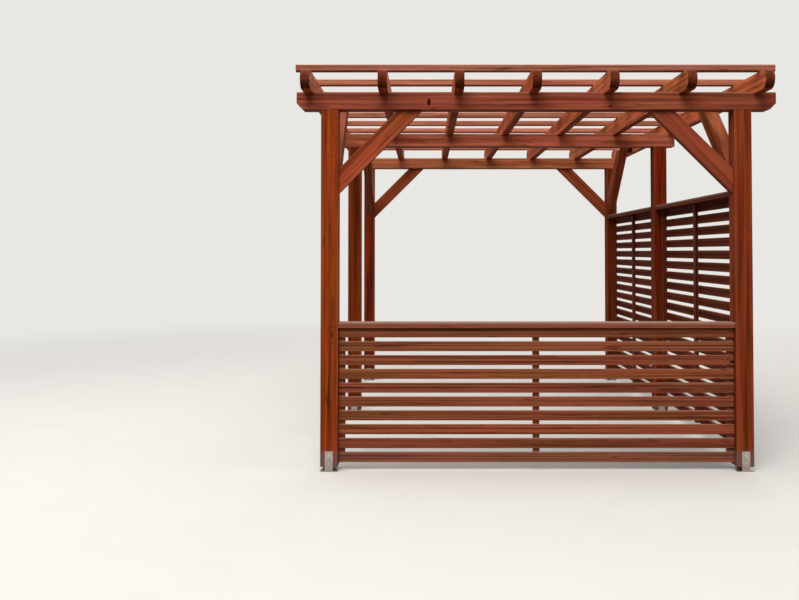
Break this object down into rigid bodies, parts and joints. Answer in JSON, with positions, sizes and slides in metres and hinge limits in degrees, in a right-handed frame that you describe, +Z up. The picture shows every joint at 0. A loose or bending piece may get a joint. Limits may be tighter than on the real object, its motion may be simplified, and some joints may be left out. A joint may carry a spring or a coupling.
{
  "type": "wooden garden pergola",
  "caption": "Open wooden pergola with notched rafters and battens on beams and braced posts, a low slatted front panel and tall slatted side panels.",
  "frame": {"origin": "on the ground, in the middle of the six posts", "axes": "+X towards the side with the tall slatted panels, +Y from the low front panel to the rear, +Z up"},
  "size_m": [3.292, 4.506, 2.757],
  "materials": {
    "post_wood": "glossy red-brown wood stain",
    "beam_wood": "glossy red-brown wood stain",
    "rafter_wood": "glossy red-brown wood stain",
    "batten_wood": "glossy red-brown wood stain",
    "brace_wood": "glossy red-brown wood stain",
    "panel_wood": "glossy red-brown wood stain",
    "shoe_steel": "galvanised"
  },
  "bodies": {
    "root": {"batten_01": "batten_wood", "batten_02": "batten_wood", "batten_03": "batten_wood", "batten_04": "batten_wood", "batten_05": "batten_wood", "batten_06": "batten_wood", "batten_07": "batten_wood", "batten_08": "batten_wood", "batten_09": "batten_wood", "batten_10": "batten_wood", "beam_front": "beam_wood", "beam_middle": "beam_wood", "beam_rear": "beam_wood", "brace_packers": "brace_wood", "cross_brace_front_left": "brace_wood", "cross_brace_front_right": "brace_wood", "cross_brace_rear_left": "brace_wood", "cross_brace_rear_right": "brace_wood", "panel_front": "panel_wood", "panel_right_front": "panel_wood", "panel_right_rear": "panel_wood", "post_front_left": "post_wood", "post_front_right": "post_wood", "post_middle_left": "post_wood", "post_middle_right": "post_wood", "post_rear_left": "post_wood", "post_rear_right": "post_wood", "rafter_1": "rafter_wood", "rafter_2": "rafter_wood", "rafter_3": "rafter_wood", "rafter_4": "rafter_wood", "rafter_5": "rafter_wood", "rafter_6": "rafter_wood", "rafter_7": "rafter_wood", "shoe_front_left": "shoe_steel", "shoe_front_right": "shoe_steel", "shoe_middle_left": "shoe_steel", "shoe_middle_right": "shoe_steel", "shoe_rear_left": "shoe_steel", "shoe_rear_right": "shoe_steel", "side_brace_front_left": "brace_wood", "side_brace_front_right": "brace_wood", "side_brace_rear_left": "brace_wood", "side_brace_rear_right": "brace_wood"}
  },
  "joints": []
}
